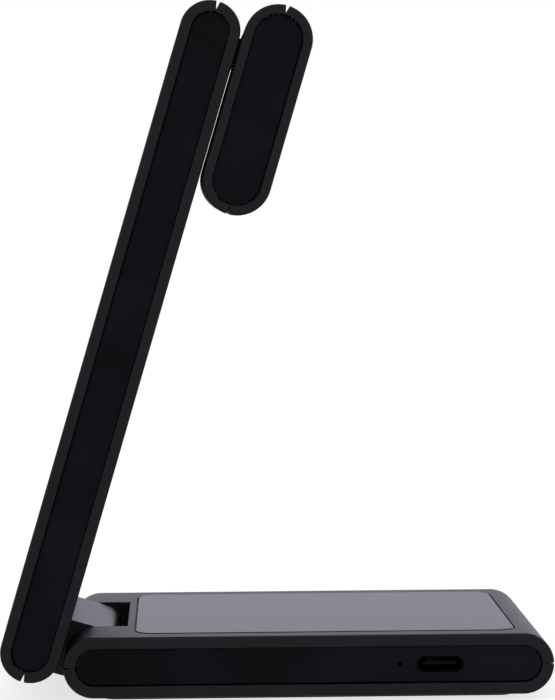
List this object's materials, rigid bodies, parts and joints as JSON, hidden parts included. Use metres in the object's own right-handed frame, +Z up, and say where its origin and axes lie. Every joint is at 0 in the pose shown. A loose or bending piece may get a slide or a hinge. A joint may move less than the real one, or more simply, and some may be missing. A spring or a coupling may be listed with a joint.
{
  "type": "folding wireless charger stand",
  "caption": "Folding wireless charger of rounded black slabs: a base with an earbud pad and charging port, a leaning phone upright and a small watch pod that swings out behind it.",
  "frame": {"origin": "on the surface that the charger stands on, under the middle of the base", "axes": "+X along the base to its free end, +Y away from the side with the charging port, +Z up"},
  "size_m": [0.111, 0.062, 0.14],
  "materials": {
    "shell": "black, fine satin texture",
    "side_panel": "black, satin",
    "pad": "black, smooth satin",
    "knuckle": "black, fine satin texture",
    "puck": "black, polished dish",
    "foot": "black rubber",
    "copper": "enamelled copper windings",
    "ferrite": "dark sintered ferrite",
    "circuit_board": "green solder mask",
    "chips": "moulded chip packages",
    "steel": "plain steel",
    "magnet": "plated magnets",
    "port_metal": "dark plated steel",
    "port_tongue": "black plastic",
    "light_pipe": "clear plastic"
  },
  "bodies": {
    "base": {"base_lower_shell": "shell", "base_upper_shell": "shell", "base_near_panel": "side_panel", "base_far_panel": "side_panel", "earbud_pad": "pad", "earbud_coil": "copper", "earbud_ferrite": "ferrite", "base_circuit_board": "circuit_board", "base_board_parts": "chips", "port_shell": "port_metal", "port_tongue": "port_tongue", "light_pipe": "light_pipe", "ballast_plate": "steel", "foot_pad": "foot", "base_screws": "steel", "lower_hinge_pin": "steel"},
    "upright": {"upright_front_shell": "shell", "upright_back_shell": "shell", "upright_near_panel": "side_panel", "upright_far_panel": "side_panel", "phone_pad": "pad", "phone_coil": "copper", "phone_ferrite": "ferrite", "phone_magnets": "magnet", "upright_circuit_board": "circuit_board", "upright_board_parts": "chips", "lower_knuckle": "knuckle", "lower_friction_bush": "steel", "upper_knuckle": "knuckle", "upper_friction_bush": "steel", "knuckle_screws": "steel", "upright_screws": "steel"},
    "watch_pod": {"pod_inner_shell": "shell", "pod_outer_shell": "shell", "pod_near_panel": "side_panel", "pod_far_panel": "side_panel", "watch_puck": "puck", "watch_coil": "copper", "watch_ferrite": "ferrite", "watch_magnet": "magnet", "pod_circuit_board": "circuit_board", "pod_board_parts": "chips", "upper_hinge_pin": "steel"}
  },
  "joints": [
    {"name": "arm_fold", "type": "hinge", "parent": "base", "child": "upright", "pos_m": [-0.0431, 0, 0.00735], "axis": [0, 1, 0], "range_deg": [0, 73.5]},
    {"name": "pod_swing", "type": "hinge", "parent": "upright", "child": "watch_pod", "pos_m": [-0.00564, 0, 0.13229], "axis": [0, -1, 0], "range_deg": [0, 90]}
  ]
}
